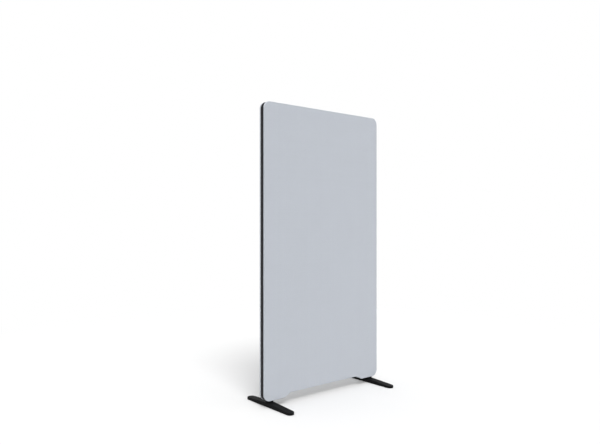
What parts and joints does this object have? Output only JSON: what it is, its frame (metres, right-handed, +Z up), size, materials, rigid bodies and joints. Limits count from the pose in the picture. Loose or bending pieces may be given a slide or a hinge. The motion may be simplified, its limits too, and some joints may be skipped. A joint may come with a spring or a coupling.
{
  "type": "acoustic divider screen",
  "caption": "Free-standing upright acoustic divider screen: a slim fabric-covered panel with round corners and a black edge band, on flat bar feet.",
  "frame": {"origin": "on the floor, under the middle of the panel", "axes": "+X along the panel to the right seen from the front, +Y from the front face to the rear face, +Z up"},
  "size_m": [0.8, 0.356, 1.5],
  "materials": {
    "cover_fabric": "woven wool-blend upholstery, matt",
    "felt_board": "pressed polyester felt",
    "absorber": "open polyester fibre slab",
    "frame_timber": "planed softwood, unfinished",
    "dowel_beech": "turned beech, unfinished",
    "edge_trim": "extruded, fine matt grain",
    "foot_coat": "fine-texture powder coat over cast iron",
    "fastener_steel": "zinc plated",
    "insert_brass": "turned",
    "pad_rubber": "moulded, matt"
  },
  "bodies": {
    "root": {"front_cover": "cover_fabric", "rear_cover": "cover_fabric", "front_felt": "felt_board", "rear_felt": "felt_board", "top_rail": "frame_timber", "bottom_rail": "frame_timber", "mid_rail": "frame_timber", "left_stile": "frame_timber", "right_stile": "frame_timber", "corner_dowels": "dowel_beech", "mid_rail_dowels": "dowel_beech", "upper_absorber": "absorber", "lower_absorber": "absorber", "top_edge_trim": "edge_trim", "left_edge_trim": "edge_trim", "right_edge_trim": "edge_trim", "bottom_edge_trim": "edge_trim", "left_foot": "foot_coat", "right_foot": "foot_coat", "left_foot_bracket": "foot_coat", "right_foot_bracket": "foot_coat", "foot_inserts": "insert_brass", "foot_bolts": "fastener_steel", "foot_bolt_washers": "fastener_steel", "left_foot_pads": "pad_rubber", "right_foot_pads": "pad_rubber"}
  },
  "joints": []
}
